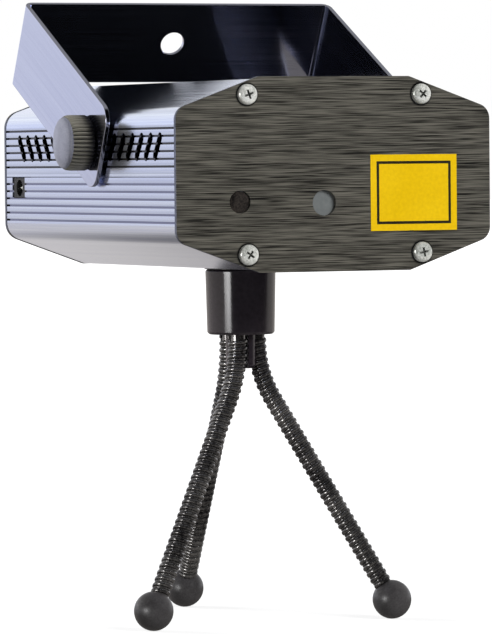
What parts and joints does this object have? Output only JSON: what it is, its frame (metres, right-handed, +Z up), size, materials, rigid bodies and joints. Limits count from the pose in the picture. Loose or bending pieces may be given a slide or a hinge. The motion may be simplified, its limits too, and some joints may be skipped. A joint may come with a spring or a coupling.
{
  "type": "laser show projector",
  "caption": "Small laser stage light: eight-sided brushed aluminium casing with a beam window, a tilting hanging bracket with thumb knobs, and a flexible gooseneck table tripod.",
  "frame": {"origin": "on the floor under the tripod's axis, which is also the middle of the overall box", "axes": "+Z up, the beam leaves the front plate towards -Y, +X is to the right when the front plate is faced"},
  "size_m": [0.1114, 0.1292, 0.1727],
  "materials": {
    "casing_aluminium": "brushed and anodised, silver",
    "black_plate": "black anodised, hairline brushed",
    "bracket_sheet": "brushed sheet, silver",
    "bright_screws": "nickel plated",
    "steel_fittings": "zinc plated",
    "window_glass": "clear, grey tint",
    "grating_film": "clear",
    "combiner_glass": "coated",
    "mic_can": "plain",
    "felt": "black felt",
    "black_plastic": "moulded, satin",
    "knob_plastic": "moulded, grey",
    "washer_nylon": "natural nylon",
    "mount_aluminium": "milled",
    "brass_barrels": "turned",
    "wheel_plastic": "white acetal",
    "motor_can": "drawn can",
    "board_laminate": "green solder mask",
    "board_spacer_nylon": "nylon",
    "board_components": "moulded",
    "pot_body": "moulded",
    "rubber": "matte black",
    "gloss_black": "moulded, gloss black",
    "gooseneck": "wound metal tube, gloss black"
  },
  "bodies": {
    "housing": {"upper_shell": "casing_aluminium", "lower_shell": "casing_aluminium", "front_plate": "black_plate", "rear_plate": "black_plate", "front_screws": "bright_screws", "rear_screws": "bright_screws", "fan_screws": "bright_screws", "beam_window": "window_glass", "mic_capsule": "mic_can", "mic_felt": "felt", "dc_jack": "black_plastic", "dc_jack_pin": "steel_fittings", "pivot_nuts": "steel_fittings", "tripod_insert": "brass_barrels", "laser_mount": "mount_aluminium", "green_laser_module": "brass_barrels", "red_laser_module": "brass_barrels", "beam_combiner": "combiner_glass", "grating_motor": "motor_can", "control_board": "board_laminate", "board_spacers": "board_spacer_nylon", "board_parts": "board_components", "fan_frame": "black_plastic", "mode_switch": "black_plastic", "speed_pot": "pot_body"},
    "bracket": {"bracket": "bracket_sheet", "friction_washers": "washer_nylon"},
    "left_knob": {"left_knob": "knob_plastic", "left_knob_stud": "steel_fittings"},
    "right_knob": {"right_knob": "knob_plastic", "right_knob_stud": "steel_fittings"},
    "tripod": {"tripod_hub": "gloss_black", "tripod_stud": "steel_fittings", "tripod_pad": "rubber"},
    "front_leg": {"leg_front": "gooseneck", "foot_front": "rubber"},
    "right_leg": {"leg_right": "gooseneck", "foot_right": "rubber"},
    "rear_leg": {"leg_rear": "gooseneck", "foot_rear": "rubber"},
    "fan": {"fan_impeller": "black_plastic"},
    "grating": {"grating_wheel": "wheel_plastic", "grating_disc": "grating_film"},
    "roller": {"drive_roller": "rubber", "motor_shaft": "steel_fittings"},
    "slider": {"switch_slider": "black_plastic"},
    "dial": {"speed_dial": "black_plastic"}
  },
  "joints": [
    {"name": "bracket_tilt", "type": "hinge", "parent": "housing", "child": "bracket", "pos_m": [0, -0.0045, 0.1329], "axis": [1, 0, 0], "range_deg": [0, 118]},
    {"name": "left_knob_turn", "type": "hinge", "parent": "housing", "child": "left_knob", "pos_m": [0, -0.0045, 0.1329], "axis": [-1, 0, 0], "range_deg": [0, 360]},
    {"name": "right_knob_turn", "type": "hinge", "parent": "housing", "child": "right_knob", "pos_m": [0, -0.0045, 0.1329], "axis": [1, 0, 0], "range_deg": [0, 360]},
    {"name": "tripod_swivel", "type": "hinge", "parent": "housing", "child": "tripod", "pos_m": [0, 0, 0.0794], "axis": [0, 0, 1], "range_deg": [-180, 180]},
    {"name": "front_leg_bend", "type": "hinge", "parent": "tripod", "child": "front_leg", "pos_m": [-0.0032, -0.00399, 0.07144], "axis": [-0.4571, 0.8894, 0], "range_deg": [-20, 45], "deforming": ["leg_front"]},
    {"name": "right_leg_bend", "type": "hinge", "parent": "tripod", "child": "right_leg", "pos_m": [0.00505, -0.00077, 0.07144], "axis": [-0.5417, -0.8406, 0], "range_deg": [-20, 45], "deforming": ["leg_right"]},
    {"name": "rear_leg_bend", "type": "hinge", "parent": "tripod", "child": "rear_leg", "pos_m": [-0.00186, 0.00476, 0.07144], "axis": [0.9988, -0.0488, 0], "range_deg": [-20, 45], "deforming": ["leg_rear"]},
    {"name": "fan_spin", "type": "hinge", "parent": "housing", "child": "fan", "pos_m": [-0.003, 0.058, 0.1239], "axis": [0, 1, 0], "continuous": true},
    {"name": "grating_spin", "type": "hinge", "parent": "housing", "child": "grating", "pos_m": [-0.0032, -0.048, 0.1162], "axis": [0, 1, 0], "continuous": true},
    {"name": "roller_spin", "type": "hinge", "parent": "housing", "child": "roller", "pos_m": [-0.01823, -0.048, 0.1162], "axis": [0, 1, 0], "continuous": true},
    {"name": "switch_slide", "type": "slide", "parent": "housing", "child": "slider", "axis": [1, 0, 0], "range_m": [0, 0.004]},
    {"name": "dial_turn", "type": "hinge", "parent": "housing", "child": "dial", "pos_m": [0.026, 0.063, 0.1309], "axis": [0, 1, 0], "range_deg": [-135, 135]}
  ],
  "couplings": [
    {"joint": "roller_spin", "follows": "grating_spin", "ratio": -2.75}
  ]
}
